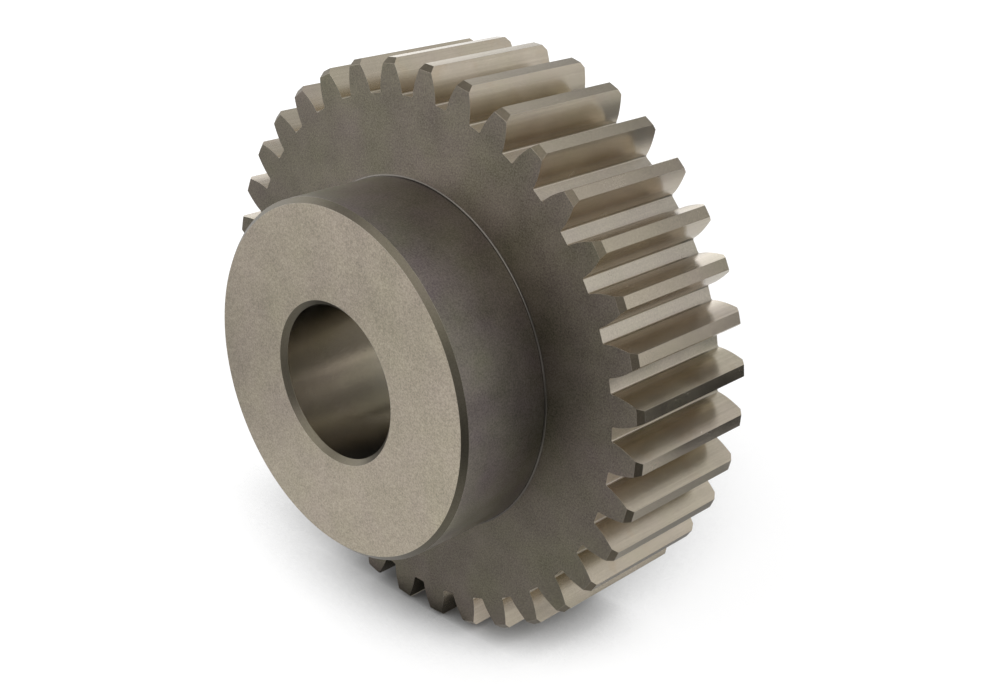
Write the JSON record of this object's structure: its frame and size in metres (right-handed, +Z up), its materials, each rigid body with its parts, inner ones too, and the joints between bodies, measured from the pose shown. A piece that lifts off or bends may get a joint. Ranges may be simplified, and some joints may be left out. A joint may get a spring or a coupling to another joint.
{
  "type": "gear wheel",
  "caption": "Spur gear wheel with straight involute teeth, a plain hub on one side and a chamfered round bore.",
  "frame": {"origin": "on the axis of the bore, midway along the teeth", "axes": "+Y along the axis, from the hub to the flat back; +Z up as the wheel stands on two teeth, through the middle of a tooth space; +X to the right as seen from the hub"},
  "size_m": [0.1138, 0.05, 0.1138],
  "materials": {
    "steel": "bare machined steel, satin, warm grey"
  },
  "bodies": {
    "root": {"gear_wheel": "steel"}
  },
  "joints": []
}
